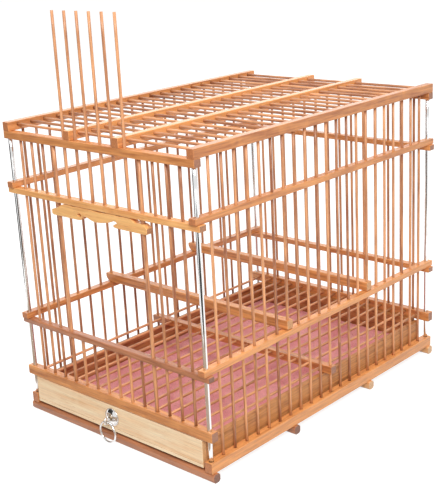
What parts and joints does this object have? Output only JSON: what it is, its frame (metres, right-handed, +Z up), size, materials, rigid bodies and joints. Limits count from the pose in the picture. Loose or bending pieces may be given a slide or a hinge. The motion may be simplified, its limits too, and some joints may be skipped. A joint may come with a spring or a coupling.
{
  "type": "canary breeding cage",
  "caption": "Barred timber breeding cage for canaries with a lifting bar door, slide-out litter drawer with ring pull, bar floor, perches and chrome tie rods.",
  "frame": {"origin": "on the ground under the middle of the whole outline", "axes": "+Z up, -Y to the front with the door and the drawer, +X to the right seen from the front"},
  "size_m": [0.2414, 0.3538, 0.3835],
  "materials": {
    "rail_timber": "varnished reddish orange hardwood rails",
    "dark_timber": "varnished dark reddish brown hardwood",
    "pale_timber": "varnished light orange hardwood",
    "bar_timber": "varnished round bamboo or hardwood bars",
    "drawer_timber": "brown softwood boards",
    "pine": "pale varnished pine",
    "liner": "pink sheet",
    "chrome": "bright chrome plated steel"
  },
  "bodies": {
    "cage": {"back_rail_lower": "rail_timber", "back_rail_middle": "rail_timber", "back_rail_top": "rail_timber", "back_rail_upper": "rail_timber", "base_rail_left": "rail_timber", "base_rail_right": "rail_timber", "door_stile_11": "bar_timber", "door_stile_4": "bar_timber", "floor_grille": "bar_timber", "front_bar_1": "bar_timber", "front_bar_12": "bar_timber", "front_bar_13": "bar_timber", "front_bar_14": "bar_timber", "front_bar_2": "bar_timber", "front_bar_3": "bar_timber", "front_rail_lower": "rail_timber", "front_rail_middle": "dark_timber", "front_rail_top": "rail_timber", "front_rail_upper": "pale_timber", "perch_back": "rail_timber", "perch_front": "rail_timber", "short_bar_1": "bar_timber", "short_bar_2": "bar_timber", "short_bar_3": "bar_timber", "short_bar_4": "bar_timber", "short_bar_5": "bar_timber", "short_bar_6": "bar_timber", "side_rail_middle_left": "rail_timber", "side_rail_middle_right": "rail_timber", "side_rail_upper_left": "rail_timber", "side_rail_upper_right": "rail_timber", "skid_back": "rail_timber", "skid_front": "dark_timber", "skid_middle_back": "rail_timber", "skid_middle_front": "dark_timber", "tie_rod_back_left": "chrome", "tie_rod_back_right": "chrome", "tie_rod_front_left": "chrome", "tie_rod_front_right": "chrome", "top_grille": "rail_timber", "top_rail_left": "rail_timber", "top_rail_right": "rail_timber"},
    "door": {"door_board": "pale_timber", "door_rod_1": "bar_timber", "door_rod_2": "bar_timber", "door_rod_3": "bar_timber", "door_rod_4": "bar_timber", "door_rod_5": "bar_timber", "door_rod_6": "bar_timber"},
    "drawer": {"drawer_back": "drawer_timber", "drawer_front": "pine", "drawer_liner": "liner", "drawer_panel": "pine", "drawer_side_left": "drawer_timber", "drawer_side_right": "drawer_timber", "pull_rosette": "chrome", "pull_eye": "chrome"},
    "ring": {"pull_ring": "chrome"}
  },
  "joints": [
    {"name": "door_slide", "type": "slide", "parent": "cage", "child": "door", "axis": [0, 0, 1], "range_m": [-0.1097, 0.0002]},
    {"name": "drawer_slide", "type": "slide", "parent": "cage", "child": "drawer", "axis": [0, -1, 0], "range_m": [0, 0.28]},
    {"name": "ring_swing", "type": "hinge", "parent": "drawer", "child": "ring", "pos_m": [-0.002, -0.1731, 0.0234], "axis": [-1, 0, 0], "range_deg": [-12, 165]}
  ]
}
